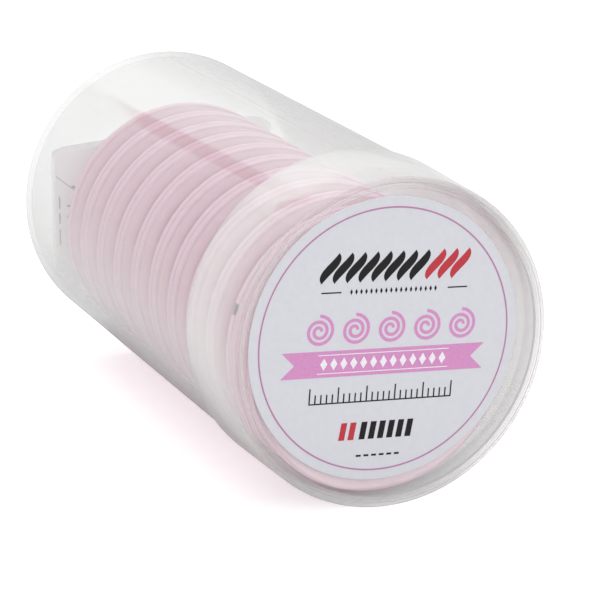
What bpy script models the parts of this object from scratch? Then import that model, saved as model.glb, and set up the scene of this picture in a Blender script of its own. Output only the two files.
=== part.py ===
"""Clear round canister of desoldering braid: ten pink bobbins in a row, each wound with copper braid,
a folded paper leaflet behind them, and a clear push-on cap that carries a round paper label.

The canister lies on its side. Its axis runs along Y, with the labelled cap towards -Y and the closed
end towards +Y. The origin is the middle of its footprint, and all sizes are in metres.
"""

import math

import bmesh
import bpy
from mathutils import Matrix, Vector

MM = 0.001

# Canister: a thin clear tube with one closed end
SIDES = 36
LENGTH = 96.2 * MM
TUBE_RADIUS = 25.0 * MM
TUBE_MOUTH_RADIUS = 24.7 * MM
TUBE_WALL = 0.8 * MM
TUBE_END_THICKNESS = 1.0 * MM
TUBE_CORNER = 1.0 * MM

# Cap: a skirt over the tube, a hollow rim that the tube's edge fits into, and a sunken end panel
CAP_RADIUS = 25.7 * MM
CAP_FRONT_RADIUS = 25.25 * MM
CAP_SKIRT_LENGTH = 17.2 * MM
CAP_CLEARANCE = 0.2 * MM
CAP_WALL = 0.6 * MM
CAP_RIM_THICKNESS = 1.6 * MM
CAP_RIM_ROUND = 0.3 * MM
CAP_RECESS_DRAFT = 0.3 * MM
PANEL_THICKNESS = 0.6 * MM

# Label: a paper disc stuck on the sunken panel
LABEL_RADIUS = 21.7 * MM
LABEL_THICKNESS = 0.12 * MM
LABEL_GAP = 0.1 * MM
LABEL_DEPTH = 2.8 * MM
LABEL_SIDES = 48

# Bobbins: two flanges on a hub with a through hole
BOBBIN_COUNT = 10
BOBBIN_SIDES = 32
BOBBIN_RADIUS = 20.9 * MM
BOBBIN_WIDTH = 8.0 * MM
BOBBIN_GAP = 0.2 * MM
FLANGE_THICKNESS = 1.5 * MM
FLANGE_ROUND = 0.45 * MM
HUB_RADIUS = 10.0 * MM
BORE_RADIUS = 4.0 * MM
NOTCH_WIDTH = 1.8 * MM
NOTCH_DEPTH = 1.8 * MM
NOTCH_DEGREES = (20, 200, 75, -35, 95, 10, 62, -48, 85, 38)

# Braid: one wound coil on each hub, 1.5 m of 1.5 mm braid
COIL_SIDES = 24
COIL_CLEARANCE = 0.25 * MM
COIL_RADIUS = 13.4 * MM

# Leaflet: a sheet folded back and forth, standing against the closed end, its foot shaped by the tube
LEAFLET_LEFT = -21.3 * MM
LEAFLET_RIGHT = 19.0 * MM
LEAFLET_PAPER = 0.45 * MM
LEAFLET_PANELS = 4
LEAFLET_PITCH = 1.1 * MM
LEAFLET_TOP = 11.5 * MM
LEAFLET_FOOT = 19.5 * MM
LEAFLET_LEAN = math.radians(3.4)
LEAFLET_ARC_POINTS = 8

CLEARANCE = 0.3 * MM

# Places worked out from the sizes above
FLAT = math.cos(math.pi / SIDES)
AXIS_HEIGHT = CAP_RADIUS * FLAT
FRONT = -LENGTH / 2
BACK = LENGTH / 2
LABEL_FRONT = FRONT + LABEL_DEPTH
PANEL_FRONT = LABEL_FRONT + LABEL_THICKNESS + LABEL_GAP
PANEL_BACK = PANEL_FRONT + PANEL_THICKNESS
TUBE_INNER_RADIUS = TUBE_RADIUS - TUBE_WALL
PLUG_RADIUS = TUBE_INNER_RADIUS - CAP_CLEARANCE
CHANNEL_END = FRONT + CAP_RIM_THICKNESS
TUBE_FRONT = CHANNEL_END + CLEARANCE
BOBBIN_START = PANEL_BACK + CLEARANCE
BOBBIN_PITCH = BOBBIN_WIDTH + BOBBIN_GAP
BOBBIN_DROP = TUBE_INNER_RADIUS * FLAT - CLEARANCE - BOBBIN_RADIUS
BOBBIN_HEIGHT = AXIS_HEIGHT - BOBBIN_DROP
STACK_END = BOBBIN_START + BOBBIN_COUNT * BOBBIN_PITCH


def clear_scene():
    """Start from an empty file, also when run from the text editor."""
    for thing in list(bpy.data.objects):
        bpy.data.objects.remove(thing, do_unlink=True)


def material(name, colour, roughness, metallic=0.0, alpha=1.0):
    """A plain Principled material in the piece's own colour."""
    made = bpy.data.materials.new(name)
    made.use_nodes = True
    shader = made.node_tree.nodes["Principled BSDF"]
    shader.inputs["Base Color"].default_value = (*colour, 1.0)
    shader.inputs["Roughness"].default_value = roughness
    shader.inputs["Metallic"].default_value = metallic
    shader.inputs["Alpha"].default_value = alpha
    return made


def add_object(name, mesh_builder, finish):
    """Write a bmesh into a new named object with outward faces."""
    bmesh.ops.recalc_face_normals(mesh_builder, faces=mesh_builder.faces)
    mesh = bpy.data.meshes.new(name)
    mesh_builder.to_mesh(mesh)
    mesh_builder.free()
    mesh.shade_smooth()
    mesh.set_sharp_from_angle(angle=math.radians(30))
    mesh.materials.append(finish)
    thing = bpy.data.objects.new(name, mesh)
    bpy.context.scene.collection.objects.link(thing)
    return thing


def ring_of_points(builder, radius, y, sides):
    """One ring of a turned piece around Y, with a flat between two points at the bottom."""
    if radius == 0:
        return [builder.verts.new((0, y, 0))]
    step = math.tau / sides
    angles = [(k + 0.5) * step - math.pi / 2 for k in range(sides)]
    return [builder.verts.new((radius * math.cos(a), y, radius * math.sin(a))) for a in angles]


def bridge(builder, first, second):
    """Faces between two neighbouring rings, or between a ring and a point on the axis."""
    count = max(len(first), len(second))
    for k in range(count):
        after = (k + 1) % count
        corners = [first[k % len(first)], first[after % len(first)]]
        corners += [second[after % len(second)], second[k % len(second)]]
        unique = [c for n, c in enumerate(corners) if c not in corners[:n]]
        builder.faces.new(unique)


def turned(name, profile, sides, finish, closed):
    """Turn a list of (radius, y) points around Y. A closed profile makes a ring with a bore."""
    builder = bmesh.new()
    rings = [ring_of_points(builder, radius, y, sides) for radius, y in profile]
    for first, second in zip(rings, rings[1:]):
        bridge(builder, first, second)
    if closed:
        bridge(builder, rings[-1], rings[0])
    return add_object(name, builder, finish)


def make_tube(finish):
    """Clear tube: open at the cap, closed and lightly rounded at the far end."""
    inner_end = BACK - TUBE_END_THICKNESS
    inner_corner = TUBE_CORNER - 0.4 * TUBE_WALL
    slope = 1 - math.sqrt(0.5)
    profile = [
        (0, BACK),
        (TUBE_RADIUS - TUBE_CORNER, BACK),
        (TUBE_RADIUS - slope * TUBE_CORNER, BACK - slope * TUBE_CORNER),
        (TUBE_RADIUS, BACK - TUBE_CORNER),
        (TUBE_RADIUS, FRONT + CAP_SKIRT_LENGTH),
        (TUBE_MOUTH_RADIUS, TUBE_FRONT),
        (TUBE_INNER_RADIUS, TUBE_FRONT),
        (TUBE_INNER_RADIUS, inner_end - inner_corner),
        (TUBE_INNER_RADIUS - inner_corner, inner_end),
        (0, inner_end),
    ]
    tube = turned("tube", profile, SIDES, finish, closed=False)
    tube.location.z = AXIS_HEIGHT
    return tube


def make_cap(finish):
    """Clear cap: skirt, hollow rim for the tube's edge, recess wall and sunken panel."""
    recess_radius = PLUG_RADIUS - CAP_WALL
    skirt_end = FRONT + CAP_SKIRT_LENGTH
    profile = [
        (0, PANEL_FRONT),
        (recess_radius - CAP_RECESS_DRAFT, PANEL_FRONT),
        (recess_radius, FRONT + CAP_RIM_ROUND),
        (recess_radius + CAP_RIM_ROUND, FRONT),
        (CAP_FRONT_RADIUS - 2 * CAP_RIM_ROUND, FRONT),
        (CAP_FRONT_RADIUS, FRONT + 2 * CAP_RIM_ROUND),
        (CAP_RADIUS, skirt_end),
        (TUBE_RADIUS + CAP_CLEARANCE, skirt_end),
        (TUBE_MOUTH_RADIUS + CAP_CLEARANCE, CHANNEL_END),
        (PLUG_RADIUS, CHANNEL_END),
        (PLUG_RADIUS - CAP_RECESS_DRAFT, PANEL_BACK),
        (0, PANEL_BACK),
    ]
    cap = turned("cap", profile, SIDES, finish, closed=False)
    cap.location.z = AXIS_HEIGHT
    return cap


def make_label(finish, carrier):
    """Round paper label on the cap's sunken panel."""
    profile = [
        (0, LABEL_FRONT),
        (LABEL_RADIUS, LABEL_FRONT),
        (LABEL_RADIUS, LABEL_FRONT + LABEL_THICKNESS),
        (0, LABEL_FRONT + LABEL_THICKNESS),
    ]
    label = turned("label", profile, LABEL_SIDES, finish, closed=False)
    label.parent = carrier
    return label


def bobbin_profile():
    """Half section of a bobbin around its own middle: hub, two flanges, rounded rims."""
    half = BOBBIN_WIDTH / 2
    groove = half - FLANGE_THICKNESS
    rim = BOBBIN_RADIUS - FLANGE_ROUND
    return [
        (BORE_RADIUS, -half),
        (rim, -half),
        (BOBBIN_RADIUS, -half + FLANGE_ROUND),
        (BOBBIN_RADIUS, -groove - FLANGE_ROUND),
        (rim, -groove),
        (HUB_RADIUS, -groove),
        (HUB_RADIUS, groove),
        (rim, groove),
        (BOBBIN_RADIUS, groove + FLANGE_ROUND),
        (BOBBIN_RADIUS, half - FLANGE_ROUND),
        (rim, half),
        (BORE_RADIUS, half),
    ]


def make_notch_cutter(name, middle, angle):
    """Guide box that cuts the braid's notch out of the near flange's rim."""
    builder = bmesh.new()
    bmesh.ops.create_cube(builder, size=1.0)
    size = Vector((2 * NOTCH_DEPTH, 2 * FLANGE_THICKNESS, NOTCH_WIDTH))
    bmesh.ops.scale(builder, vec=size, verts=builder.verts)
    bmesh.ops.translate(builder, vec=(BOBBIN_RADIUS, 0, 0), verts=builder.verts)
    bmesh.ops.rotate(builder, cent=(0, 0, 0), matrix=Matrix.Rotation(angle, 3, "Y"), verts=builder.verts)
    mesh = bpy.data.meshes.new(name)
    builder.to_mesh(mesh)
    builder.free()
    cutter = bpy.data.objects.new(name, mesh)
    cutter.location = middle - Vector((0, BOBBIN_WIDTH / 2, 0))
    cutter.hide_render = True
    cutter.display_type = "WIRE"
    bpy.context.scene.collection.objects.link(cutter)
    return cutter


def make_bobbin(number, finish):
    """One pink bobbin, lying on the tube's lowest line, with its notch turned its own way."""
    name = f"bobbin_{number:02d}"
    middle = Vector((0, BOBBIN_START + (number - 1) * BOBBIN_PITCH + BOBBIN_WIDTH / 2, BOBBIN_HEIGHT))
    bobbin = turned(name, bobbin_profile(), BOBBIN_SIDES, finish, closed=True)
    bobbin.location = middle
    angle = math.radians(NOTCH_DEGREES[number - 1])
    cutter = make_notch_cutter(f"notch_guide_{number:02d}", middle, angle)
    cut = bobbin.modifiers.new("Notch", "BOOLEAN")
    cut.operation = "DIFFERENCE"
    cut.object = cutter
    return bobbin


def make_coil(number, carrier, finish):
    """The braid wound on one bobbin: a turned ring between the flanges."""
    half = BOBBIN_WIDTH / 2 - FLANGE_THICKNESS - COIL_CLEARANCE
    inner = HUB_RADIUS + COIL_CLEARANCE
    profile = [(inner, -half), (COIL_RADIUS, -half), (COIL_RADIUS, half), (inner, half)]
    coil = turned(f"braid_coil_{number:02d}", profile, COIL_SIDES, finish, closed=True)
    coil.parent = carrier
    return coil


def leaflet_section():
    """The folded sheet seen along its height: flat panels joined by a fold at alternate ends."""
    first = [(LEAFLET_LEFT, 0.0)]
    second = [(LEAFLET_LEFT, LEAFLET_PAPER)]
    for fold in range(LEAFLET_PANELS - 1):
        y = fold * LEAFLET_PITCH
        side = LEAFLET_RIGHT if fold % 2 == 0 else LEAFLET_LEFT
        inner = side - math.copysign(LEAFLET_PAPER, side)
        outside = [(side, y), (side, y + LEAFLET_PITCH + LEAFLET_PAPER)]
        inside = [(inner, y + LEAFLET_PAPER), (inner, y + LEAFLET_PITCH)]
        first += outside if fold % 2 == 0 else inside
        second += inside if fold % 2 == 0 else outside
    y = (LEAFLET_PANELS - 1) * LEAFLET_PITCH
    if LEAFLET_PANELS % 2 == 0:
        first.append((LEAFLET_LEFT, y + LEAFLET_PAPER))
        second.append((LEAFLET_LEFT, y))
    else:
        first.append((LEAFLET_RIGHT, y))
        second.append((LEAFLET_RIGHT, y + LEAFLET_PAPER))
    return first + second[::-1]


def leaflet_front():
    """The leaflet seen from the cap: straight top and sides, and a foot that follows the tube."""
    reach = TUBE_INNER_RADIUS * FLAT - CLEARANCE
    foot_end = math.asin(LEAFLET_FOOT / reach)

    def foot(side):
        side_end = math.acos(side / reach)
        step = (foot_end - side_end) / (LEAFLET_ARC_POINTS - 1)
        angles = [-side_end - step * k for k in range(LEAFLET_ARC_POINTS)]
        return [(reach * math.cos(a), reach * math.sin(a)) for a in angles]

    left = [(-x, z) for x, z in reversed(foot(-LEAFLET_LEFT))]
    slope = math.tan(LEAFLET_LEAN)
    top_right = (LEAFLET_RIGHT, LEAFLET_TOP + LEAFLET_RIGHT * slope)
    top_left = (LEAFLET_LEFT, LEAFLET_TOP + LEAFLET_LEFT * slope)
    return foot(LEAFLET_RIGHT) + left + [top_left, top_right]


def extruded(outline, axis, low, high):
    """A prism over an outline in the plane across the given axis, 1 for Y or 2 for Z."""
    builder = bmesh.new()
    ends = []
    for level in (low, high):
        places = [(a, level, b) if axis == 1 else (a, b, level) for a, b in outline]
        ends.append([builder.verts.new(place) for place in places])
    caps = [builder.faces.new(end) for end in ends]
    for k in range(len(outline)):
        after = (k + 1) % len(outline)
        builder.faces.new((ends[0][k], ends[0][after], ends[1][after], ends[1][k]))
    bmesh.ops.triangulate(builder, faces=caps)
    return builder


def make_leaflet(finish):
    """Folded paper leaflet, standing across the tube against its closed end."""
    depth = (LEAFLET_PANELS - 1) * LEAFLET_PITCH + LEAFLET_PAPER
    builder = extruded(leaflet_section(), 2, -2 * LEAFLET_FOOT, 2 * LEAFLET_TOP)
    leaflet = add_object("leaflet", builder, finish)
    leaflet.location = (0, BACK - TUBE_END_THICKNESS - TUBE_CORNER - depth, AXIS_HEIGHT)
    guide_builder = extruded(leaflet_front(), 1, -depth, 2 * depth)
    guide = add_object("leaflet_guide", guide_builder, finish)
    guide.location = leaflet.location
    guide.hide_render = True
    guide.display_type = "WIRE"
    trim = leaflet.modifiers.new("Outline", "BOOLEAN")
    trim.operation = "INTERSECT"
    trim.object = guide
    return leaflet


def main():
    clear_scene()
    clear_plastic = material("clear_plastic", (0.93, 0.95, 0.94), 0.05, alpha=0.25)
    pink_plastic = material("pink_plastic", (0.85, 0.52, 0.62), 0.35)
    copper = material("copper_braid", (0.72, 0.36, 0.22), 0.4, metallic=1.0)
    label_paper = material("label_paper", (0.83, 0.82, 0.87), 0.45)
    leaflet_paper = material("leaflet_paper", (0.78, 0.77, 0.78), 0.6)

    make_tube(clear_plastic)
    cap = make_cap(clear_plastic)
    make_label(label_paper, cap)
    for number in range(1, BOBBIN_COUNT + 1):
        bobbin = make_bobbin(number, pink_plastic)
        make_coil(number, bobbin, copper)
    make_leaflet(leaflet_paper)


main()
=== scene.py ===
"""Looks of a clear round canister that holds ten pink bobbins of copper desoldering braid.

The canister lies on its side with its labelled cap towards -Y. Lengths are in metres, in the frame
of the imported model, and MM turns a size in millimetres into metres.
"""

import math

import bmesh
import bpy
from mathutils import Matrix, Vector


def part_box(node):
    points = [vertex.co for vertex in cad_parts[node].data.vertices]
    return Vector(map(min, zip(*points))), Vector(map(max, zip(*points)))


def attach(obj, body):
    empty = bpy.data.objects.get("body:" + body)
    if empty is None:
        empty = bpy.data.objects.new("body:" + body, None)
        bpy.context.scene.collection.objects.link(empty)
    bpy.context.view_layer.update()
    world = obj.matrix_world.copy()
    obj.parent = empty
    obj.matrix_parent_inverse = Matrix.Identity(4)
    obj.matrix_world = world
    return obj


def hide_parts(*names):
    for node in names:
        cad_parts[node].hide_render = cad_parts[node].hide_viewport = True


MM = 0.001

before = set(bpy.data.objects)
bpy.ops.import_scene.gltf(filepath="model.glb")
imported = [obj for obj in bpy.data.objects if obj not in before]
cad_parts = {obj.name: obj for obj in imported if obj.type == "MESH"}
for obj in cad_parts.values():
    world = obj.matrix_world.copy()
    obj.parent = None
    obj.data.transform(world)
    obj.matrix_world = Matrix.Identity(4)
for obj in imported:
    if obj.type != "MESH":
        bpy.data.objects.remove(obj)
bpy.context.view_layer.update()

# Places read from the frame
CAP_LOW, CAP_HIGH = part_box("cap")
TUBE_LOW, TUBE_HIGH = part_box("tube")
LABEL_LOW, LABEL_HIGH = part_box("label")
LEAFLET_LOW, LEAFLET_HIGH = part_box("leaflet")
AXIS_HEIGHT = (CAP_LOW[2] + CAP_HIGH[2]) / 2
FRONT = CAP_LOW[1]
BACK = TUBE_HIGH[1]
SKIRT_END = CAP_HIGH[1]
TUBE_FRONT = TUBE_LOW[1]
LABEL_FRONT = LABEL_LOW[1]
BOBBIN_HEIGHT = (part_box("bobbin_01")[0][2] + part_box("bobbin_01")[1][2]) / 2

# Tube and cap
ROUND_STEPS = 224
TUBE_RADIUS = 25.0 * MM
TUBE_MOUTH_RADIUS = 24.7 * MM
TUBE_WALL = 0.8 * MM
TUBE_END_THICKNESS = 1.0 * MM
TUBE_CORNER = 0.7 * MM
CAP_RADIUS = AXIS_HEIGHT
CAP_FRONT_RADIUS = 25.2 * MM
CAP_WALL = 0.5 * MM
CAP_RECESS_RADIUS = 23.4 * MM
CAP_RECESS_DRAFT = 0.3 * MM
CAP_PLUG_RADIUS = 24.0 * MM
CAP_RIM_THICKNESS = 1.6 * MM
RIM_STEP_RADIUS = 24.25 * MM
PANEL_FRONT = LABEL_HIGH[1] + 0.1 * MM
PANEL_THICKNESS = 0.6 * MM

# Clear plastic: how much of it is milky haze, facing the eye, at grazing angles and on the flat ends
CLEAR_TINT = (0.984, 0.987, 0.985, 1)
TUBE_MILK = (0.17, 0.28, 0.35)
CAP_MILK = (0.14, 0.22, 1.4)
TUBE_EDGE_SHINE = 0.26
CAP_EDGE_SHINE = 0.08
TUBE_EDGE_TONE = 0.69
CAP_EDGE_TONE = 0.78
TUBE_MILK_TONE = 0.71
COVERED_MILK_TONE = 0.93
CAP_MILK_TONE = 0.88
# Grey of the painted shade lines along the rim's edges
RIM_SHADE_LINE_COLOUR = (0.50, 0.46, 0.48)

# Painted shade lines on the rim's edges: start, end and strength across the rim, from radius 23 mm to 25 mm
RIM_LINES_FROM = 23.0 * MM
RIM_LINES_TO = 25.0 * MM
RIM_LINES = ((0.19, 0.23, 1.0), (0.44, 0.47, 0.5), (0.66, 0.70, 1.0))
RIM_LINE_SOFTNESS = 0.02

# Label and its plain print
LABEL_RADIUS = 21.65 * MM
LABEL_TURN = math.radians(-4.2)
RING_RADIUS = 20.06 * MM
RING_LINE = 0.24 * MM
INK_THICKNESS = 0.015 * MM
INK_LIFT = 0.004 * MM
RIBBON_MIDDLE = -3.25 * MM
ROPE_STEPS = 10
SPIRAL_STEPS = 48

# Bobbins and braid
BOBBIN_COUNT = 10
BOBBIN_STEPS = 144
BOBBIN_RADIUS = 20.9 * MM
BOBBIN_WIDTH = 8.0 * MM
BOBBIN_SHARP_DEGREES = 32.0
FLANGE_THICKNESS = 1.5 * MM
BOBBIN_RIM_ROUND = 0.35 * MM
BOBBIN_EDGE_ROUND = 0.12 * MM
HUB_RADIUS = 10.0 * MM
BORE_RADIUS = 4.0 * MM
NOTCH_WIDTH = 1.8 * MM
NOTCH_DEPTH = 1.8 * MM
NOTCH_ROUND = 0.5 * MM
NOTCH_DEGREES = (20, 200, 75, -35, 95, 10, 62, -48, 85, 38)
COIL_RADIUS = 13.3 * MM
BRAID_WIDTH = 1.46 * MM
BRAID_THICKNESS = 0.34 * MM
BRAID_SIDES = 14
BRAID_TURNS = 3
BRAID_PITCH = 1.48 * MM
BRAID_STEPS = 120
CROSSING = 0.12
TAIL_SWEEP = math.radians(75)
TAIL_STEPS = 40
TAIL_RADIUS = 19.7 * MM
TAIL_Y = -3.15 * MM
COIL_GAP = 0.3 * MM
CORE_STEPS = 24
CORE_ROUND = 96
CORE_SWELL = 0.12 * MM
CORE_SINK = 0.14 * MM
WEAVE_LENGTH = 0.18 * MM
WEAVE_SLANT = 14.0

# Leaflet
LEAFLET_WIDTH = 42.6 * MM
LEAFLET_RIGHT = 18.95 * MM
LEAFLET_PAPER = 0.14 * MM
LEAFLET_PANELS = 4
LEAFLET_FOLD = 0.5 * MM
LEAFLET_FOLD_STEPS = 8
LEAFLET_STEPS = 40
LEAFLET_ROWS = 24
LEAFLET_TOP = 11.45 * MM
LEAFLET_LEAN = math.radians(3.4)
LEAFLET_CORNER = 3.0 * MM
LEAFLET_CORNER_DROP = 0.9 * MM
LEAFLET_WAVE = 0.18 * MM
LEAFLET_WAVE_LENGTH = 7.5 * MM
LEAFLET_WAVE_START = 1.1
LEAFLET_WAVE_UP = 2.6

# Painted shade line for a crease, then printed bars, on the leaflet: start x, start z, end x, end z and width
# in mm, from the tube's axis
LEAFLET_MARKS = (
    # Painted shade: a thin grey line where the crease would be
    (-21.1, 6.0, -17.6, 3.0, 0.14),
    (-18.3, 4.0, -16.3, 2.8, 0.42),
    (-20.6, 2.3, -20.6, 0.3, 0.30),
    (-20.6, -0.6, -20.6, -2.4, 0.30),
    (-20.6, -3.4, -20.6, -6.2, 0.30),
    (-19.3, 0.6, -17.2, 0.45, 0.34),
    (-19.3, -1.3, -17.6, -1.45, 0.34),
    (-19.3, -3.0, -17.4, -3.1, 0.26),
    (-19.3, -4.6, -17.9, -4.7, 0.26),
    (-19.3, -6.3, -17.6, -6.4, 0.26),
)

# Studio
FLOOR_HALF = 4.0
FLOOR_GAP = 0.02 * MM
SKY_STRENGTH = 1.16
SLOT_COLOUR = (0.40, 0.02, 0.09, 1)
SUN_STRENGTH = 1.0
SUN_SPREAD = math.radians(60)
SUN_FROM = Vector((0.32, 0.25, 0.9))

# Camera, from the ring on the label and the outline in the photograph
FRAME_PIXELS = 600
FOCAL_PIXELS = 2746.9
SENSOR_WIDTH = 36.0
CAMERA_AZIMUTH = math.radians(-23.395)
CAMERA_ELEVATION = math.radians(17.110)
CAMERA_DISTANCE = 0.4026
CAMERA_RIGHT = -12.449 * MM
CAMERA_UP = 5.833 * MM


def arc(middle_r, middle_y, radius, start, end, count):
    """Points of an arc in the half plane of a turned piece, in degrees from outward towards +Y."""
    angles = [math.radians(start + (end - start) * k / (count - 1)) for k in range(count)]
    return [(middle_r + radius * math.cos(a), middle_y + radius * math.sin(a)) for a in angles]


def add_piece(name, builder, finishes, sharp_degrees=35.0):
    """Write a bmesh into a new smooth-shaded object with outward faces."""
    bmesh.ops.recalc_face_normals(builder, faces=builder.faces)
    mesh = bpy.data.meshes.new(name)
    builder.to_mesh(mesh)
    builder.free()
    mesh.shade_smooth()
    mesh.set_sharp_from_angle(angle=math.radians(sharp_degrees))
    for finish in finishes:
        mesh.materials.append(finish)
    piece = bpy.data.objects.new(name, mesh)
    bpy.context.scene.collection.objects.link(piece)
    return piece


def turn(builder, profile, steps, closed, height=0.0):
    """Turn a list of (radius, y) points around the Y axis. Points on the axis become one vertex."""
    rings = []
    for radius, y in profile:
        if radius == 0:
            rings.append([builder.verts.new((0, y, height))])
            continue
        angles = [math.tau * k / steps for k in range(steps)]
        ring = [(radius * math.cos(a), y, height + radius * math.sin(a)) for a in angles]
        rings.append([builder.verts.new(place) for place in ring])
    pairs = list(zip(rings, rings[1:]))
    if closed:
        pairs.append((rings[-1], rings[0]))
    for first, second in pairs:
        for k in range(steps):
            after = (k + 1) % steps
            corners = [first[k % len(first)], first[after % len(first)]]
            corners += [second[after % len(second)], second[k % len(second)]]
            unique = [corner for n, corner in enumerate(corners) if corner not in corners[:n]]
            builder.faces.new(unique)
    return rings


class Nodes:
    """Short helper to build a material's node tree."""

    def __init__(self, tree):
        self.tree = tree
        tree.nodes.clear()

    def add(self, kind, **settings):
        node = self.tree.nodes.new(kind)
        for name, value in settings.items():
            setattr(node, name, value)
        return node

    def link(self, output, target):
        self.tree.links.new(output, target)

    def math(self, operation, first, second=None, third=None):
        node = self.add("ShaderNodeMath", operation=operation)
        for socket, value in zip(node.inputs, (first, second, third)):
            if value is None:
                continue
            if isinstance(value, (int, float)):
                socket.default_value = value
            else:
                self.link(value, socket)
        return node.outputs[0]

    def noise(self, coordinates, scale, detail=2.0, roughness=0.5):
        node = self.add("ShaderNodeTexNoise")
        node.inputs["Scale"].default_value = scale
        node.inputs["Detail"].default_value = detail
        node.inputs["Roughness"].default_value = roughness
        self.link(coordinates, node.inputs["Vector"])
        return node.outputs[0]

    def ramp(self, factor, stops):
        node = self.add("ShaderNodeValToRGB")
        elements = node.color_ramp.elements
        while len(elements) < len(stops):
            elements.new(0.5)
        for element, (place, colour) in zip(elements, stops):
            element.position = place
            element.color = (*colour, 1.0)
        self.link(factor, node.inputs[0])
        return node.outputs[0]

    def spread(self, value, low, high, to_low, to_high):
        node = self.add("ShaderNodeMapRange")
        node.inputs["From Min"].default_value = low
        node.inputs["From Max"].default_value = high
        node.inputs["To Min"].default_value = to_low
        node.inputs["To Max"].default_value = to_high
        self.link(value, node.inputs["Value"])
        return node.outputs[0]

    def bump(self, height, strength, distance):
        node = self.add("ShaderNodeBump")
        node.inputs["Strength"].default_value = strength
        node.inputs["Distance"].default_value = distance
        self.link(height, node.inputs["Height"])
        return node.outputs[0]

    def mix(self, share, first, second):
        node = self.add("ShaderNodeMixShader")
        for socket, source in zip(node.inputs, (share, first, second)):
            self.link(source, socket)
        return node.outputs[0]

    def diffuse(self, colour=None):
        node = self.add("ShaderNodeBsdfDiffuse")
        if colour:
            node.inputs["Color"].default_value = (*colour, 1)
        return node

    def emission(self, strength):
        node = self.add("ShaderNodeEmission")
        node.inputs["Color"].default_value = (1, 1, 1, 1)
        node.inputs["Strength"].default_value = strength
        return node

    def both(self, first, second):
        node = self.add("ShaderNodeAddShader")
        self.link(first.outputs[0], node.inputs[0])
        self.link(second.outputs[0], node.inputs[1])
        return node.outputs[0]

    def separated(self, vector):
        node = self.add("ShaderNodeSeparateXYZ")
        self.link(vector, node.inputs[0])
        return node.outputs

    def radius(self, axes, height):
        """Distance from the line along Y at a height."""
        up = self.math("SUBTRACT", axes["Z"], height)
        across = self.math("MULTIPLY", axes["X"], axes["X"])
        return self.math("SQRT", self.math("MULTIPLY_ADD", up, up, across))

    def coordinates(self):
        return self.add("ShaderNodeTexCoord").outputs["Object"]

    def stretched(self, coordinates, scale):
        node = self.add("ShaderNodeMapping")
        node.inputs["Scale"].default_value = scale
        self.link(coordinates, node.inputs["Vector"])
        return node.outputs[0]

    def output(self, shader):
        node = self.add("ShaderNodeOutputMaterial")
        self.link(shader, node.inputs["Surface"])


def new_material(name):
    """An empty node material and its helper."""
    made = bpy.data.materials.new(name)
    made.use_nodes = True
    return made, Nodes(made.node_tree)


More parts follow.
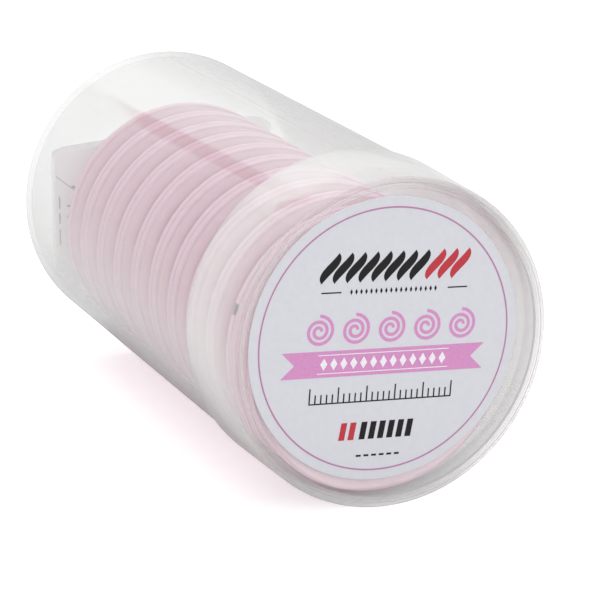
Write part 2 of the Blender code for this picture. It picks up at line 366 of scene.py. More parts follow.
class ClearPlastic:
    """Node parts that the clear plastics share: thin clear walls, a milky haze and fine scuffs."""

    def __init__(self, name):
        self.made, self.nodes = new_material(name)
        nodes = self.nodes
        place = nodes.coordinates()
        weight = nodes.add("ShaderNodeLayerWeight")
        weight.inputs["Blend"].default_value = 0.5
        self.facing = weight.outputs["Facing"]
        self.axes = nodes.separated(place)
        self.radius = nodes.radius(self.axes, AXIS_HEIGHT)
        waves = nodes.noise(nodes.stretched(place, (60, 14, 60)), 1.0, 1.0)
        self.normal = nodes.bump(waves, 0.03, 0.2 * MM)
        self.scuffs = nodes.noise(nodes.stretched(place, (900, 120, 900)), 1.0, 3.0)
        self.window = nodes.add("ShaderNodeBsdfTransparent")
        self.window.inputs["Color"].default_value = CLEAR_TINT

    def behind_front(self, low, high, to_low, to_high):
        """A value that changes between two distances behind the cap's front, in millimetres."""
        return self.nodes.spread(self.axes["Y"], FRONT + low * MM, FRONT + high * MM, to_low, to_high)

    def sheltered(self):
        """1 on the inner walls and between cap and tube near the front, where less is mirrored."""
        nodes = self.nodes
        inner = nodes.spread(self.radius, TUBE_RADIUS - 0.5 * MM, TUBE_RADIUS - 0.2 * MM, 1.0, 0.0)
        nested = nodes.spread(self.radius, TUBE_RADIUS + 0.12 * MM, TUBE_RADIUS + 0.18 * MM, 1.0, 0.0)
        nested = nodes.math("MULTIPLY", nested, self.behind_front(5.0, 8.0, 1.0, 0.0))
        return nodes.math("MAXIMUM", inner, nested)

    def thin_wall(self, edge_shine, edge_tone):
        """See-through wall that mirrors more, and more softly, at grazing angles."""
        nodes = self.nodes
        inner = self.sheltered()
        mirror = nodes.add("ShaderNodeBsdfGlossy")
        edge_stops = ((0.60, (0.82, 0.82, 0.82)), (0.86, (edge_tone, edge_tone, edge_tone)))
        nodes.link(nodes.ramp(self.facing, edge_stops), mirror.inputs["Color"])
        polish = nodes.spread(self.scuffs, 0.35, 0.75, 0.02, 0.05)
        blur = nodes.math("ADD", polish, nodes.spread(self.facing, 0.62, 0.80, 0.0, 0.18))
        nodes.link(nodes.math("MULTIPLY_ADD", inner, 0.04, blur), mirror.inputs["Roughness"])
        nodes.link(self.normal, mirror.inputs["Normal"])
        shine = nodes.math("MULTIPLY_ADD", nodes.math("POWER", self.facing, 5.0), 0.92, 0.06)
        shine = nodes.math("ADD", shine, nodes.spread(self.facing, 0.60, 0.80, 0.0, edge_shine))
        shine = nodes.math("MULTIPLY", shine, nodes.spread(inner, 0.0, 1.0, 1.0, 0.35))
        return nodes.mix(shine, self.window.outputs[0], mirror.outputs[0])

    def milk_share(self, straight, grazing, flat_ends):
        """Share of haze, in patches: straight on, at grazing angles, and how much more on flat ends."""
        nodes = self.nodes
        share = nodes.spread(self.facing, 0.55, 0.80, straight, grazing)
        share = nodes.math("MULTIPLY", share, nodes.spread(self.scuffs, 0.3, 0.8, 0.94, 1.06))
        return nodes.math("MULTIPLY", share, nodes.spread(self.facing, 0.2, 0.5, flat_ends, 1.0))

    def finish(self, wall, share, colour):
        """Lay the haze over the wall, and let light for shadows and soft bounces straight through."""
        nodes = self.nodes
        milk = nodes.diffuse()
        nodes.link(colour, milk.inputs["Color"])
        hazy = nodes.mix(share, wall, milk.outputs[0])
        rays = nodes.add("ShaderNodeLightPath").outputs
        lets_light_in = nodes.math("MAXIMUM", rays["Is Shadow Ray"], rays["Is Diffuse Ray"])
        nodes.output(nodes.mix(lets_light_in, hazy, self.window.outputs[0]))
        return self.made


def milky(tone):
    """A nearly neutral haze colour."""
    return (tone, tone, tone * 0.99)


def tube_plastic():
    """Clear tube, with a thinner and brighter haze where the cap covers it."""
    clear = ClearPlastic("tube_plastic")
    nodes = clear.nodes
    wall = clear.thin_wall(TUBE_EDGE_SHINE, TUBE_EDGE_TONE)
    share = nodes.math("MULTIPLY", clear.milk_share(*TUBE_MILK), clear.behind_front(6.5, 9.5, 0.35, 1.0))
    uncovered = nodes.spread(clear.axes["Y"], SKIRT_END - 1.0 * MM, SKIRT_END + 1.0 * MM, 0.0, 1.0)
    colour = nodes.ramp(uncovered, ((0.0, milky(COVERED_MILK_TONE)), (1.0, milky(TUBE_MILK_TONE))))
    return clear.finish(wall, share, colour)


def painted_rim_shade_stops():
    """Colour stops of the painted shade lines on the rim, each with soft sides."""
    stops = []
    for start, end, strength in RIM_LINES:
        line = (strength, strength, strength)
        stops += [(start - RIM_LINE_SOFTNESS, (0.0, 0.0, 0.0)), (start, line)]
        stops += [(end, line), (end + RIM_LINE_SOFTNESS, (0.0, 0.0, 0.0))]
    return stops


def cap_plastic():
    """Clear cap, whose thick rim bends light a little and has painted shade lines along its edges."""
    clear = ClearPlastic("cap_plastic")
    nodes = clear.nodes
    bulk = nodes.add("ShaderNodeBsdfGlass")
    bulk.inputs["Color"].default_value = (0.98, 0.98, 0.975, 1)
    bulk.inputs["IOR"].default_value = 1.22
    bulk.inputs["Roughness"].default_value = 0.01
    nodes.link(clear.normal, bulk.inputs["Normal"])
    thin = clear.thin_wall(CAP_EDGE_SHINE, CAP_EDGE_TONE)
    wall = nodes.mix(clear.behind_front(0.9, 1.2, 0.75, 1.0), bulk.outputs[0], thin)

    inner_walls = nodes.spread(clear.radius, 24.3 * MM, 24.7 * MM, 0.65, 0.0)
    inner_walls = nodes.math("MULTIPLY", inner_walls, nodes.spread(clear.facing, 0.45, 0.60, 0.0, 1.0))
    share = nodes.math("MULTIPLY", clear.milk_share(*CAP_MILK), nodes.math("SUBTRACT", 1.0, inner_walls))
    # Painted shade: thin grey lines of denser haze along the rim's edges, near the front.
    across_rim = nodes.spread(clear.radius, RIM_LINES_FROM, RIM_LINES_TO, 0.0, 1.0)
    lines = nodes.ramp(across_rim, painted_rim_shade_stops())
    lines = nodes.math("MULTIPLY", lines, clear.behind_front(0.5, 0.7, 1.0, 0.0))
    share = nodes.math("MULTIPLY_ADD", lines, 0.5, share)
    colour = nodes.ramp(lines, ((0.0, milky(CAP_MILK_TONE)), (1.0, RIM_SHADE_LINE_COLOUR)))
    return clear.finish(wall, share, colour)


def pink_plastic():
    """Satin moulded pink plastic, coloured by the distance from the bobbin's axis: pale on the flanges, with
    a painted glow standing in for light passing through them, and deeper inside, with painted shade in the
    groove towards the hub and on the rounded rims, where neighbouring bobbins meet.
    """
    made, nodes = new_material("pink_plastic")
    place = nodes.coordinates()
    flow = nodes.noise(nodes.stretched(place, (90, 40, 90)), 1.0, 3.0, 0.6)
    radius = nodes.radius(nodes.separated(place), BOBBIN_HEIGHT)
    # Painted light: this ramp over the radius paints a pale glow on the flange faces, and shade deep in the
    # groove and on the rims' rounded edges.
    out = nodes.spread(radius, 16.0 * MM, BOBBIN_RADIUS, 0.0, 1.0)
    out = nodes.math("ADD", out, nodes.spread(flow, 0.3, 0.7, -0.04, 0.04))
    colour = nodes.ramp(
        out,
        (
            (0.0, (0.56, 0.24, 0.39)),
            (0.48, (0.64, 0.31, 0.46)),
            (0.61, (0.88, 0.58, 0.70)),
            (0.72, (0.93, 0.66, 0.76)),
            (0.89, (0.91, 0.635, 0.74)),
            (0.95, (0.68, 0.40, 0.52)),
        ),
    )
    grain = nodes.noise(place, 2600.0, 2.0)
    shader = nodes.add("ShaderNodeBsdfPrincipled")
    nodes.link(colour, shader.inputs["Base Color"])
    nodes.link(nodes.spread(grain, 0.3, 0.7, 0.42, 0.56), shader.inputs["Roughness"])
    nodes.link(nodes.bump(grain, 0.12, 0.05 * MM), shader.inputs["Normal"])
    shader.inputs["IOR"].default_value = 1.49
    nodes.output(shader.outputs[0])
    return made


def copper_braid():
    """Fine woven copper wires: crossing strands in bump and in tone, with painted shade darkening the dips
    between strands.
    """
    made, nodes = new_material("copper_braid")
    uv = nodes.add("ShaderNodeTexCoord").outputs["UV"]
    axes = nodes.separated(uv)
    along = axes["X"]
    side = axes["Y"]
    rising = nodes.math("SINE", nodes.math("MULTIPLY_ADD", side, WEAVE_SLANT, along))
    falling = nodes.math("SINE", nodes.math("MULTIPLY_ADD", side, -WEAVE_SLANT, along))
    weave = nodes.math("MAXIMUM", rising, falling)
    # Painted shade: the copper is darkest in the dips between crossing strands and palest on their crests.
    tone = nodes.ramp(
        nodes.spread(weave, -0.6, 1.0, 0.0, 1.0),
        ((0.0, (0.16, 0.055, 0.03)), (0.45, (0.62, 0.27, 0.14)), (1.0, (0.86, 0.46, 0.28))),
    )
    shader = nodes.add("ShaderNodeBsdfPrincipled")
    shader.inputs["Metallic"].default_value = 0.9
    nodes.link(tone, shader.inputs["Base Color"])
    nodes.link(nodes.spread(weave, -1.0, 1.0, 0.55, 0.28), shader.inputs["Roughness"])
    nodes.link(nodes.bump(weave, 0.8, 0.12 * MM), shader.inputs["Normal"])
    nodes.output(shader.outputs[0])
    return made


def paper(name, light, dark, roughness, fibre):
    """Paper with a faint mottle and fibres."""
    made, nodes = new_material(name)
    place = nodes.coordinates()
    mottle = nodes.noise(place, fibre, 4.0, 0.6)
    shader = nodes.add("ShaderNodeBsdfPrincipled")
    nodes.link(nodes.ramp(mottle, ((0.3, dark), (0.7, light))), shader.inputs["Base Color"])
    nodes.link(nodes.spread(mottle, 0.3, 0.7, roughness - 0.05, roughness + 0.05), shader.inputs["Roughness"])
    nodes.link(nodes.bump(mottle, 0.1, 0.03 * MM), shader.inputs["Normal"])
    nodes.output(shader.outputs[0])
    return made


def ink(name, colour):
    """Printed ink, slightly uneven, with the label's own sheen."""
    made, nodes = new_material(name)
    place = nodes.coordinates()
    speckle = nodes.noise(place, 3000.0, 2.0)
    paler = tuple(min(1.0, c * 1.12 + 0.003) for c in colour)
    shader = nodes.add("ShaderNodeBsdfPrincipled")
    nodes.link(nodes.ramp(speckle, ((0.35, colour), (0.7, paler))), shader.inputs["Base Color"])
    nodes.link(nodes.spread(speckle, 0.3, 0.7, 0.5, 0.6), shader.inputs["Roughness"])
    shader.inputs["Specular IOR Level"].default_value = 0.25
    nodes.output(shader.outputs[0])
    return made


def make_tube(finish):
    """Clear tube, closed and softly rounded at the far end, with a rounded mouth."""
    inner = TUBE_RADIUS - TUBE_WALL
    inner_end = BACK - TUBE_END_THICKNESS
    inner_corner = 0.4 * MM
    lip = 0.3 * MM
    mouth_round = 0.25 * MM
    mouth = TUBE_MOUTH_RADIUS - mouth_round
    mouth_y = TUBE_FRONT + mouth_round
    support = 0.4 * MM
    profile = [(0, BACK), (1.0 * MM, BACK), (TUBE_RADIUS - TUBE_CORNER - support, BACK)]
    profile += arc(TUBE_RADIUS - TUBE_CORNER, BACK - TUBE_CORNER, TUBE_CORNER, 90, 0, 9)
    profile += [(TUBE_RADIUS, BACK - TUBE_CORNER - support), (TUBE_RADIUS, SKIRT_END)]
    profile += arc(mouth, mouth_y, mouth_round, 0, -90, 5)
    profile += arc(inner + mouth_round, mouth_y, mouth_round, -90, -180, 5)
    profile += [(inner, TUBE_FRONT + lip + support), (inner, inner_end - inner_corner - support)]
    profile += arc(inner - inner_corner, inner_end - inner_corner, inner_corner, 0, 90, 7)
    profile += [(inner - 1.7 * MM, inner_end), (0, inner_end)]
    builder = bmesh.new()
    turn(builder, profile, ROUND_STEPS, closed=False, height=AXIS_HEIGHT)
    tube = add_piece("clear_tube", builder, [finish])
    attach(tube, "canister")
    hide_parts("tube")
    return tube


def make_cap(finish):
    """Clear cap: skirt with a fine end lip, rounded rim, recess wall and sunken panel."""
    rim_round = 0.7 * MM
    inner_round = 0.3 * MM
    step_half = 0.12 * MM
    lip_round = 0.15 * MM
    lip_bevel = 0.1 * MM
    panel_fillet = 0.35 * MM
    plug_fillet = 0.4 * MM
    plug_draft = 0.3 * MM
    panel_back = PANEL_FRONT + PANEL_THICKNESS
    channel_end = FRONT + CAP_RIM_THICKNESS
    recess_foot = CAP_RECESS_RADIUS - CAP_RECESS_DRAFT
    profile = [(0, PANEL_FRONT), (recess_foot - 2 * panel_fillet, PANEL_FRONT)]
    profile += arc(recess_foot - panel_fillet, PANEL_FRONT - panel_fillet, panel_fillet, 90, 0, 5)
    profile += arc(CAP_RECESS_RADIUS + inner_round, FRONT + inner_round, inner_round, 180, 270, 5)
    profile += [(RIM_STEP_RADIUS - step_half, FRONT), (RIM_STEP_RADIUS, FRONT + 0.1 * MM)]
    profile += [(RIM_STEP_RADIUS + step_half, FRONT + 0.04 * MM)]
    profile += arc(CAP_FRONT_RADIUS - rim_round, FRONT + rim_round, rim_round, -70, 0, 9)
    profile += [(CAP_FRONT_RADIUS + 0.02 * MM, FRONT + rim_round + 0.4 * MM)]
    profile += arc(CAP_RADIUS - lip_round, SKIRT_END - lip_round, lip_round, 0, 90, 4)
    profile += [(CAP_RADIUS - CAP_WALL + lip_bevel, SKIRT_END)]
    profile += [(CAP_RADIUS - CAP_WALL, SKIRT_END - lip_bevel)]
    profile += [(TUBE_MOUTH_RADIUS + 0.2 * MM, channel_end + 0.2 * MM)]
    profile += [(TUBE_MOUTH_RADIUS, channel_end), (CAP_PLUG_RADIUS + 0.1 * MM, channel_end)]
    profile += [(CAP_PLUG_RADIUS, channel_end + 0.15 * MM)]
    plug_foot = CAP_PLUG_RADIUS - plug_draft - plug_fillet
    profile += arc(plug_foot, panel_back - plug_fillet, plug_fillet, 0, 90, 5)
    profile += [(0, panel_back)]
    builder = bmesh.new()
    turn(builder, profile, ROUND_STEPS, closed=False, height=AXIS_HEIGHT)
    cap = add_piece("clear_cap", builder, [finish])
    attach(cap, "cap")
    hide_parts("cap")
    return cap


def make_label(finish):
    """Round paper label on the sunken panel."""
    edge = 0.03 * MM
    profile = [(0, LABEL_FRONT), (LABEL_RADIUS - edge, LABEL_FRONT), (LABEL_RADIUS, LABEL_FRONT + edge)]
    profile += [(LABEL_RADIUS, LABEL_HIGH[1]), (0, LABEL_HIGH[1])]
    builder = bmesh.new()
    turn(builder, profile, ROUND_STEPS, closed=False, height=AXIS_HEIGHT)
    label = add_piece("label_disc", builder, [finish])
    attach(label, "cap")
    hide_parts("label")
    return label


def make_ring(finish):
    """Thin printed ring near the label's edge."""
    front = LABEL_FRONT - INK_LIFT - INK_THICKNESS
    back = LABEL_FRONT - INK_LIFT
    low = RING_RADIUS - RING_LINE / 2
    high = RING_RADIUS + RING_LINE / 2
    builder = bmesh.new()
    profile = [(low, front), (high, front), (high, back), (low, back)]
    turn(builder, profile, ROUND_STEPS, closed=True, height=AXIS_HEIGHT)
    ring = add_piece("label_ring", builder, [finish])
    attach(ring, "cap")
    return ring


def printed(name, outlines, finish, layer=0):
    """Flat prisms of ink on the label, from outlines in the label's own turned (across, up) frame."""
    back = LABEL_FRONT - INK_LIFT - layer * 2 * INK_THICKNESS
    turned = Matrix.Rotation(LABEL_TURN, 2)
    builder = bmesh.new()
    for outline in outlines:
        places = [turned @ Vector(point) for point in outline]
        ends = []
        for y in (back, back - INK_THICKNESS):
            ends.append([builder.verts.new((p.x, y, AXIS_HEIGHT + p.y)) for p in places])
        caps = [builder.faces.new(end) for end in ends]
        for k in range(len(places)):
            after = (k + 1) % len(places)
            builder.faces.new((ends[0][k], ends[0][after], ends[1][after], ends[1][k]))
        builder.normal_update()
        bmesh.ops.triangulate(builder, faces=caps)
    piece = add_piece(name, builder, [finish])
    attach(piece, "cap")
    return piece


def block(u, v, width, height, slant=0.0):
    """Outline of a bar in millimetres, its top moved sideways by the slant."""
    half = width / 2
    corners = ((u - half, v), (u + half, v), (u + half + slant, v + height), (u - half + slant, v + height))
    return [(x * MM, y * MM) for x, y in corners]


def diamond(u, v, width, height):
    """Outline of a diamond in millimetres."""
    corners = ((u - width / 2, v), (u, v - height / 2), (u + width / 2, v), (u, v + height / 2))
    return [(x * MM, y * MM) for x, y in corners]


def rope_strand(u, v, width, height):
    """Outline of one slanted almond of a rope border, in millimetres."""
    points = []
    for side in (1, -1):
        for k in range(ROPE_STEPS):
            t = k / ROPE_STEPS if side > 0 else 1 - k / ROPE_STEPS
            swell = side * width / 2 * math.sin(math.pi * t) ** 0.8
            lean = height * 0.28 * math.sin(math.pi * (t - 0.5))
            points.append(((u + swell + lean) * MM, (v + (t - 0.5) * height) * MM))
    return points


def spiral(u, v, inner, outer, turns, line):
    """Outline of a spiral line in millimetres: out along one side and back along the other."""
    points = []
    for side in (1, -1):
        for k in range(SPIRAL_STEPS + 1):
            t = k / SPIRAL_STEPS if side > 0 else 1 - k / SPIRAL_STEPS
            radius = inner + (outer - inner) * t + side * line / 2
            angle = turns * math.tau * t
            points.append(((u + radius * math.cos(angle)) * MM, (v + radius * math.sin(angle)) * MM))
    return points


def row(count, start, step):
    """Evenly spaced places along a line."""
    return [start + step * k for k in range(count)]


def make_rope(charcoal, red):
    """Bold rope border at the top, its end in red."""
    up = 11.2
    strand = (1.75, 4.6)
    step = 2.05
    printed("label_rope", [rope_strand(u, up, *strand) for u in row(8, -9.6, step)], charcoal)
    printed("label_rope_end", [rope_strand(u, up, *strand) for u in row(3, 7.3, step)], red)


def make_rule(charcoal):
    """Two short rules with a row of small diamonds between them."""
    up = 7.45
    rules = [block(u, up, 3.2, 0.2) for u in (-9.2, 11.2)]
    rules += [diamond(u, up + 0.1, 0.42, 0.9) for u in row(18, -6.0, 0.8)]
    printed("label_rule", rules, charcoal)


def make_ribbon(mauve, white):
    """Swallow-tailed ribbon with a band of diamonds between two lines."""
    half = 16.4 * MM
    tail_notch = 2.1 * MM
    rise = 2.0 * MM
    low = RIBBON_MIDDLE - rise
    high = RIBBON_MIDDLE + rise
    outline = [(-half, low), (half, low), (half - tail_notch, RIBBON_MIDDLE)]
    outline += [(half, high), (-half, high), (-half + tail_notch, RIBBON_MIDDLE)]
    printed("label_ribbon", [outline], mauve)
    middle = RIBBON_MIDDLE / MM
    line = 0.14
    band = [diamond(u, middle, 1.15, 1.9) for u in row(13, -9.6, 1.6)]
    band += [block(0, middle + offset - line / 2, 21.2, line) for offset in (-1.4, 1.4)]
    printed("label_ribbon_pattern", band, white, layer=1)


def make_scale(charcoal):
    """Tick scale, each fifth tick longer."""
    foot = -9.2
    long_tick = 2.3
    short_tick = 1.3
    places = enumerate(row(26, -11.5, 0.92))
    ticks = [block(u, foot, 0.22, long_tick if k % 5 == 0 else short_tick) for k, u in places]
    ticks.append(block(0, foot - 0.2, 23.2, 0.2))
    printed("label_scale", ticks, charcoal)


def make_bars(charcoal, red):
    """Slanted bars with a row of dashes under them."""
    foot = -15.2
    bar = (0.95, 2.7, 0.35)
    step = 1.5
    printed("label_bars_red", [block(u, foot, *bar) for u in row(2, -5.9, step)], red)
    printed("label_bars", [block(u, foot, *bar) for u in row(6, -2.6, step)], charcoal)
    printed("label_dashes", [block(u, -17.9, 0.8, 0.3) for u in row(6, -2.9, 1.25)], charcoal)


def make_prints(charcoal, red, mauve, white):
    """Plain ornaments on the label from top to bottom, in millimetres from its middle."""
    make_rope(charcoal, red)
    make_rule(charcoal)
    spirals = [spiral(u, 1.8, 0.35, 2.35, 2.25, 0.5) for u in row(5, -10.7, 5.75)]
    printed("label_spirals", spirals, mauve)
    make_ribbon(mauve, white)
    make_scale(charcoal)
    make_bars(charcoal, red)


def bobbin_section():
    """Closed half section of a bobbin: hub, two flanges with round rims, recessed outer faces."""
    half = BOBBIN_WIDTH / 2
    groove = half - FLANGE_THICKNESS
    rim = BOBBIN_RIM_ROUND
    edge = BOBBIN_EDGE_ROUND
    fillet = 0.8 * MM
    recess = 0.3 * MM
    collar = 5.6 * MM
    web = 18.6 * MM
    slope = 0.35 * MM
    near = [(BORE_RADIUS, -half + 0.3 * MM), (BORE_RADIUS + 0.3 * MM, -half), (collar, -half)]
    near += [(collar + slope, -half + recess), (web, -half + recess), (web + slope, -half)]
    near += [(BOBBIN_RADIUS - edge - 0.3 * MM, -half)]
    near += arc(BOBBIN_RADIUS - edge, -half + edge, edge, -90, 0, 6)
    near += arc(BOBBIN_RADIUS - rim, -groove - rim, rim, 0, 90, 6)
    near += [(BOBBIN_RADIUS - 3 * rim, -groove)]
    near += [(HUB_RADIUS + 2 * fillet, -groove)]
    near += arc(HUB_RADIUS + fillet, -groove + fillet, fillet, -90, -180, 5)
    far = [(radius, -y) for radius, y in reversed(near)]
    return near + far


def bobbin_mesh(finish):
    """One bobbin around the Y axis, its notch cut through the near flange at +X."""
    builder = bmesh.new()
    turn(builder, bobbin_section(), BOBBIN_STEPS, closed=True)
    bobbin = add_piece("bobbin_pattern", builder, [finish], BOBBIN_SHARP_DEGREES)
    cutter_builder = bmesh.new()
    bmesh.ops.create_cube(cutter_builder, size=1.0)
    size = Vector((2 * NOTCH_DEPTH, 2 * FLANGE_THICKNESS, NOTCH_WIDTH))
    bmesh.ops.scale(cutter_builder, vec=size, verts=cutter_builder.verts)
    place = (BOBBIN_RADIUS, -BOBBIN_WIDTH / 2, 0)
    bmesh.ops.translate(cutter_builder, vec=place, verts=cutter_builder.verts)
    upright = [e for e in cutter_builder.edges if abs((e.verts[0].co - e.verts[1].co).y) > MM]
    bmesh.ops.bevel(cutter_builder, geom=upright, offset=NOTCH_ROUND, segments=4, affect="EDGES")
    cutter = add_piece("notch_cutter", cutter_builder, [finish])
    cut = bobbin.modifiers.new("Notch", "BOOLEAN")
    cut.operation = "DIFFERENCE"
    cut.object = cutter
    mesh = applied(bobbin)
    bpy.data.objects.remove(cutter)
    bpy.data.objects.remove(bobbin)
    mesh.shade_smooth()
    mesh.set_sharp_from_angle(angle=math.radians(BOBBIN_SHARP_DEGREES))
    return mesh


def applied(thing):
    """A new mesh with an object's modifiers applied."""
    graph = bpy.context.evaluated_depsgraph_get()
    return bpy.data.meshes.new_from_object(thing.evaluated_get(graph))


def bobbin_turn(number):
    """How far a bobbin is turned around its own axis."""
    return math.radians(NOTCH_DEGREES[number - 1])


def place_on_bobbin(name, pattern, number):
    """A copy of a mesh built around the Y axis, turned and moved to where a bobbin lies."""
    low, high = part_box(f"bobbin_{number:02d}")
    mesh = pattern.copy()
    mesh.name = name
    middle = Vector((0, (low[1] + high[1]) / 2, (low[2] + high[2]) / 2))
    mesh.transform(Matrix.Translation(middle) @ Matrix.Rotation(bobbin_turn(number), 4, "Y"))
    piece = bpy.data.objects.new(name, mesh)
    bpy.context.scene.collection.objects.link(piece)
    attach(piece, "canister")
    return piece


def make_bobbins(finish):
    """Ten bobbins in a row, each turned its own way."""
    pattern = bobbin_mesh(finish)
    for number in range(1, BOBBIN_COUNT + 1):
        bobbin = place_on_bobbin(f"pink_bobbin_{number:02d}", pattern, number)
        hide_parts(f"bobbin_{number:02d}")


def ribbon_section():
    """Rounded flat section of the braid: (across, thick) points, anticlockwise."""
    points = []
    for k in range(BRAID_SIDES):
        a = math.tau * k / BRAID_SIDES
        across = math.copysign(abs(math.cos(a)) ** 0.6, math.cos(a)) * BRAID_WIDTH / 2
        thick = math.copysign(abs(math.sin(a)) ** 0.8, math.sin(a)) * BRAID_THICKNESS / 2
        points.append((across, thick))
    return points


def braid_path():
    """Places of the outer turns of one braid as (angle, radius, y), ending in the near flange's notch."""
    path = []
    steps = BRAID_TURNS * BRAID_STEPS
    reach = (BRAID_TURNS - 1) * BRAID_PITCH / 2
    last_angle = -TAIL_SWEEP
    for k in range(steps + 1):
        share = k / steps
        angle = last_angle - (1 - share) * BRAID_TURNS * math.tau
        turn_part = share * BRAID_TURNS
        whole = min(int(turn_part), BRAID_TURNS - 1)
        crossing = max(0.0, (turn_part - whole - 1 + CROSSING) / CROSSING)
        if whole == BRAID_TURNS - 1:
            crossing = 0
        side = whole + crossing
        path.append((angle, COIL_RADIUS - BRAID_THICKNESS / 2, reach - side * BRAID_PITCH))
    for k in range(1, TAIL_STEPS + 1):
        share = k / TAIL_STEPS
        rise = share * share * (3 - 2 * share)
        angle = last_angle + share * TAIL_SWEEP
        radius = COIL_RADIUS - BRAID_THICKNESS / 2 + rise * (TAIL_RADIUS - COIL_RADIUS)
        y = -reach + share**4 * (TAIL_Y + reach)
        path.append((angle, radius, y))
    return path


def coil_mesh(finish):
    """The braid's inner turns as a grooved ring, with the outer turns and the tail laid on top."""
    builder = bmesh.new()
    uv_layer = builder.loops.layers.uv.new("braid")
    half = BOBBIN_WIDTH / 2 - FLANGE_THICKNESS - COIL_GAP
    under = COIL_RADIUS - BRAID_THICKNESS
    core = [(HUB_RADIUS + COIL_GAP, half), (HUB_RADIUS + COIL_GAP, -half)]
    for k in range(CORE_STEPS + 1):
        swell = CORE_SWELL * abs(math.sin(math.pi * k / CORE_STEPS * BRAID_TURNS)) ** 0.5
        core.append((under + swell - CORE_SINK, -half + 2 * half * k / CORE_STEPS))
    turn(builder, core, CORE_ROUND, closed=True)
    for face in builder.faces:
        for loop in face.loops:
            place = loop.vert.co
            around = math.atan2(place.z, place.x)
            loop[uv_layer].uv = (around * under / WEAVE_LENGTH, place.y / BRAID_WIDTH)
    section = ribbon_section()
    rings = []
    travelled = 0.0
    before = None
    for angle, radius, y in braid_path():
        outward = Vector((math.cos(angle), 0, -math.sin(angle)))
        centre = outward * radius + Vector((0, y, 0))
        if before is not None:
            travelled += (centre - before).length
        before = centre
        places = [centre + Vector((0, across, 0)) + outward * thick for across, thick in section]
        ring = [builder.verts.new(place) for place in places]
        rings.append((ring, travelled))
    for (first, at_first), (second, at_second) in zip(rings, rings[1:]):
        for k in range(BRAID_SIDES):
            after = (k + 1) % BRAID_SIDES
            face = builder.faces.new((first[k], first[after], second[after], second[k]))
            lengths = (at_first, at_first, at_second, at_second)
            sides = (section[k][0], section[after][0], section[after][0], section[k][0])
            for loop, length, side in zip(face.loops, lengths, sides):
                loop[uv_layer].uv = (length / WEAVE_LENGTH, side / BRAID_WIDTH)
    builder.faces.new(rings[0][0])
    builder.faces.new(list(reversed(rings[-1][0])))
    pattern = add_piece("braid_pattern", builder, [finish], 60.0)
    mesh = pattern.data
    bpy.data.objects.remove(pattern)
    return mesh


def make_coils(finish):
    """The braid on each bobbin, its loose end tucked into the bobbin's notch."""
    pattern = coil_mesh(finish)
    for number in range(1, BOBBIN_COUNT + 1):
        coil = place_on_bobbin(f"copper_braid_{number:02d}", pattern, number)
        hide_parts(f"braid_coil_{number:02d}")


def leaflet_path():
    """Centre line of the folded sheet seen from above, as (x, y) with half-round folds."""
    left = -LEAFLET_WIDTH / 2 + LEAFLET_FOLD
    right = LEAFLET_RIGHT - LEAFLET_FOLD
    path = []
    for panel in range(LEAFLET_PANELS):
        y = LEAFLET_HIGH[1] - LEAFLET_FOLD - panel * 2 * LEAFLET_FOLD
        rightward = panel % 2 == 0
        start, end = (left, right) if rightward else (right, left)
        for k in range(LEAFLET_STEPS + 1):
            path.append((start + (end - start) * k / LEAFLET_STEPS, y))
        if panel < LEAFLET_PANELS - 1:
            for k in range(1, LEAFLET_FOLD_STEPS):
                a = math.pi / 2 - math.pi * k / LEAFLET_FOLD_STEPS
                x = end + (1 if rightward else -1) * LEAFLET_FOLD * math.cos(a)
                path.append((x, y - LEAFLET_FOLD + LEAFLET_FOLD * math.sin(a)))
    return path


def leaflet_reach(x):
    """Lowest and highest point of the sheet at x, over the tube's axis."""
    inside = TUBE_RADIUS - TUBE_WALL - 0.15 * MM
    foot = -math.sqrt(max(inside * inside - x * x, 0.0))
    low = max(foot, LEAFLET_LOW[2] - AXIS_HEIGHT)
    left = -LEAFLET_WIDTH / 2
    into_corner = max(0.0, x - LEAFLET_RIGHT + LEAFLET_CORNER, left + LEAFLET_CORNER - x)
    corner = into_corner / LEAFLET_CORNER
    high = LEAFLET_TOP + x * math.tan(LEAFLET_LEAN) - LEAFLET_CORNER_DROP * corner * corner
    return low, high


def leaflet_wave(x, share):
    """How far the sheet bends towards +Y at x, at a share of its height."""
    across = math.sin(x / LEAFLET_WAVE_LENGTH + LEAFLET_WAVE_START)
    return LEAFLET_WAVE * across * math.sin(LEAFLET_WAVE_UP * share)


def make_leaflet_marks(finish):
    """A thin grey line of painted shade for a crease, and plain grey bars printed on the sheet's near face.
    """
    face = LEAFLET_HIGH[1] - LEAFLET_FOLD * (2 * LEAFLET_PANELS - 1) - LEAFLET_PAPER / 2 - 0.02 * MM
    builder = bmesh.new()
    for mark in LEAFLET_MARKS:
        x0, z0, x1, z1, width = (value * MM for value in mark)
        along = Vector((x1 - x0, z1 - z0)).normalized()
        side = Vector((-along.y, along.x)) * width / 2
        start = Vector((x0, z0))
        end = Vector((x1, z1))
        ends = ([], [])
        for corner in (start - side, end - side, end + side, start + side):
            low, high = leaflet_reach(corner.x)
            y = face + leaflet_wave(corner.x, (corner.y - low) / (high - low))
            for ring, lift in zip(ends, (0.0, INK_THICKNESS)):
                ring.append(builder.verts.new((corner.x, y - lift, AXIS_HEIGHT + corner.y)))
        for ring in ends:
            builder.faces.new(ring)
        for k in range(4):
            after = (k + 1) % 4
            builder.faces.new((ends[0][k], ends[0][after], ends[1][after], ends[1][k]))
    marks = add_piece("leaflet_marks", builder, [finish])
    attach(marks, "canister")


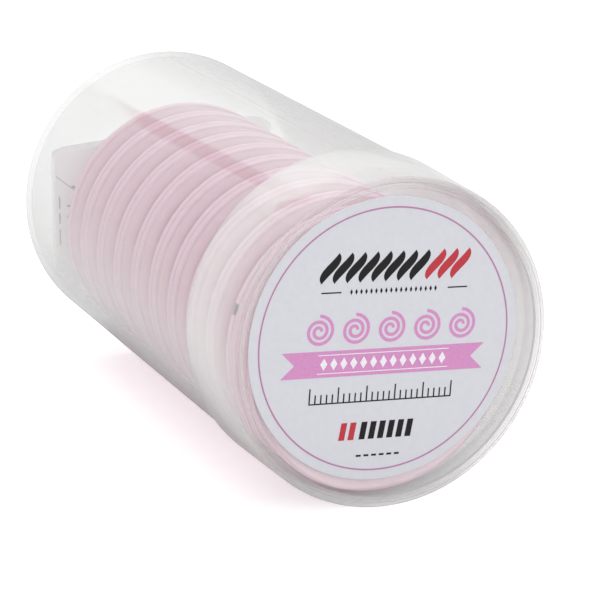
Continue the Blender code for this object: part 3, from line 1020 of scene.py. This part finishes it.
def make_leaflet(finish):
    """Folded paper leaflet behind the last bobbin, its lower edge against the tube."""
    path = leaflet_path()
    sides = ([], [])
    builder = bmesh.new()
    for n, (x, y) in enumerate(path):
        before = Vector(path[max(n - 1, 0)])
        after = Vector(path[min(n + 1, len(path) - 1)])
        along = (after - before).normalized()
        across = Vector((-along.y, along.x)) * LEAFLET_PAPER / 2
        low, high = leaflet_reach(x)
        for side, sign in zip(sides, (1, -1)):
            column = []
            for k in range(LEAFLET_ROWS + 1):
                share = k / LEAFLET_ROWS
                z = low + (high - low) * share
                wave = leaflet_wave(x, share)
                place = (x + sign * across.x, y + sign * across.y + wave, AXIS_HEIGHT + z)
                column.append(builder.verts.new(place))
            side.append(column)
    for side in sides:
        for first, second in zip(side, side[1:]):
            for k in range(LEAFLET_ROWS):
                builder.faces.new((first[k], first[k + 1], second[k + 1], second[k]))
    near, far = sides
    for n in range(len(path) - 1):
        for k in (0, LEAFLET_ROWS):
            builder.faces.new((near[n][k], near[n + 1][k], far[n + 1][k], far[n][k]))
    for n in (0, len(path) - 1):
        for k in range(LEAFLET_ROWS):
            builder.faces.new((near[n][k], near[n][k + 1], far[n][k + 1], far[n][k]))
    leaflet = add_piece("folded_leaflet", builder, [finish], 50.0)
    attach(leaflet, "canister")
    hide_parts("leaflet")


def make_stage():
    """Plain white floor.

    The camera sees it over-exposed, as a product backdrop is. Through the plastic and in soft bounces it is
    plain white, and in reflections it is a little dimmer, so that no horizon shows in the tube.
    """
    made, nodes = new_material("floor_paint")
    tone_stops = ((0.3, (0.51, 0.51, 0.51)), (0.7, (0.53, 0.53, 0.53)))
    paint = nodes.diffuse()
    nodes.link(nodes.ramp(nodes.noise(nodes.coordinates(), 6.0), tone_stops), paint.inputs["Color"])
    plain = nodes.both(paint, nodes.emission(0.46))
    backdrop = nodes.both(nodes.diffuse((0.93, 0.93, 0.93)), nodes.emission(0.42))
    reflected = nodes.diffuse((0.72, 0.72, 0.72)).outputs[0]
    rays = nodes.add("ShaderNodeLightPath").outputs
    indirect = nodes.mix(rays["Is Glossy Ray"], plain, reflected)
    behind_plastic = nodes.math("GREATER_THAN", rays["Transparent Depth"], 0.5)
    direct = nodes.math("MAXIMUM", nodes.math("SUBTRACT", rays["Is Camera Ray"], behind_plastic), 0.0)
    nodes.output(nodes.mix(direct, indirect, backdrop))
    builder = bmesh.new()
    bmesh.ops.create_grid(builder, x_segments=8, y_segments=8, size=FLOOR_HALF)
    floor = add_piece("floor", builder, [made])
    floor.location.z = -FLOOR_GAP


def make_world():
    """Even white surroundings with a narrow dim red gap between two long overhead lights.

    The roll is the angle around the canister's axis, as a share of half a turn from +X over +Z to -X.
    """
    world = bpy.data.worlds.new("studio")
    world.use_nodes = True
    nodes = Nodes(world.node_tree)
    direction = nodes.separated(nodes.add("ShaderNodeTexCoord").outputs["Generated"])
    angle = nodes.math("ARCTAN2", direction["Z"], direction["X"])
    roll = nodes.math("DIVIDE", angle, math.pi)
    glow = nodes.ramp(
        roll,
        (
            (0.0, (0.75, 0.75, 0.75)),
            (0.26, (0.77, 0.77, 0.77)),
            (0.36, (1.00, 1.00, 1.00)),
            (0.545, (1.00, 1.00, 1.00)),
            (0.590, (0.78, 0.78, 0.78)),
            (1.0, (0.82, 0.82, 0.82)),
        ),
    )
    skewed_roll = nodes.math("MULTIPLY_ADD", nodes.math("SUBTRACT", direction["Z"], 0.405), 0.733, roll)
    slot = nodes.ramp(
        skewed_roll,
        (
            (0.0, (0.0, 0.0, 0.0)),
            (0.540, (0.0, 0.0, 0.0)),
            (0.551, (1.0, 1.0, 1.0)),
            (0.598, (1.0, 1.0, 1.0)),
            (0.602, (0.0, 0.0, 0.0)),
        ),
    )
    low_end = nodes.spread(direction["Z"], 0.384, 0.397, 0.1, 1.0)
    high_end = nodes.spread(direction["Z"], 0.46, 0.52, 1.0, 0.0)
    shade = nodes.add("ShaderNodeMix", data_type="RGBA")
    nodes.link(nodes.math("MULTIPLY", slot, nodes.math("MULTIPLY", low_end, high_end)), shade.inputs[0])
    nodes.link(glow, shade.inputs["A"])
    shade.inputs["B"].default_value = SLOT_COLOUR
    light = nodes.add("ShaderNodeBackground")
    nodes.link(shade.outputs["Result"], light.inputs["Color"])
    light.inputs["Strength"].default_value = SKY_STRENGTH
    seen = nodes.add("ShaderNodeBackground")
    seen.inputs["Color"].default_value = (1, 1, 1, 1)
    camera_ray = nodes.add("ShaderNodeLightPath").outputs["Is Camera Ray"]
    output = nodes.add("ShaderNodeOutputWorld")
    nodes.link(nodes.mix(camera_ray, light.outputs[0], seen.outputs[0]), output.inputs["Surface"])
    bpy.context.scene.world = world


def make_lights():
    """One broad soft light from the upper right."""
    sun = bpy.data.lights.new("soft_key", "SUN")
    sun.energy = SUN_STRENGTH
    sun.angle = SUN_SPREAD
    lamp = bpy.data.objects.new("soft_key", sun)
    lamp.rotation_euler = SUN_FROM.to_track_quat("Z", "Y").to_euler()
    bpy.context.scene.collection.objects.link(lamp)


def make_camera():
    """Camera at the photograph's viewing angle."""
    back = Vector(
        (
            math.sin(CAMERA_AZIMUTH) * math.cos(CAMERA_ELEVATION),
            -math.cos(CAMERA_AZIMUTH) * math.cos(CAMERA_ELEVATION),
            math.sin(CAMERA_ELEVATION),
        )
    )
    right = Vector((0, 0, 1)).cross(back).normalized()
    up = back.cross(right)
    target = Vector((0, LABEL_FRONT, AXIS_HEIGHT))
    lens = bpy.data.cameras.new("camera")
    lens.sensor_width = SENSOR_WIDTH
    lens.lens = FOCAL_PIXELS / FRAME_PIXELS * SENSOR_WIDTH
    lens.clip_start = 0.01
    camera = bpy.data.objects.new("camera", lens)
    camera.location = target + back * CAMERA_DISTANCE + right * CAMERA_RIGHT + up * CAMERA_UP
    camera.rotation_euler = (-back).to_track_quat("-Z", "Y").to_euler()
    bpy.context.scene.collection.objects.link(camera)
    bpy.context.scene.camera = camera


def main():
    bpy.context.scene.view_settings.view_transform = "Standard"
    make_camera()
    make_world()
    make_lights()
    make_stage()
    pink = pink_plastic()
    copper = copper_braid()
    label_paper = paper("label_paper", (0.66, 0.66, 0.71), (0.63, 0.63, 0.68), 0.45, 900.0)
    leaflet_paper = paper("leaflet_paper", (0.93, 0.91, 0.92), (0.88, 0.86, 0.87), 0.6, 700.0)
    purple = ink("purple_ink", (0.44, 0.20, 0.36))
    mauve = ink("mauve_ink", (0.60, 0.26, 0.50))
    charcoal = ink("charcoal_ink", (0.008, 0.007, 0.008))
    red = ink("red_ink", (0.47, 0.035, 0.05))
    white = ink("white_ink", (0.80, 0.76, 0.81))
    # Grey for the printed bars on the leaflet and for the painted shade line of its crease
    grey = ink("grey_print_and_crease_shade", (0.20, 0.19, 0.20))
    make_tube(tube_plastic())
    make_cap(cap_plastic())
    make_label(label_paper)
    make_ring(purple)
    make_prints(charcoal, red, mauve, white)
    make_bobbins(pink)
    make_coils(copper)
    make_leaflet(leaflet_paper)
    make_leaflet_marks(grey)


main()
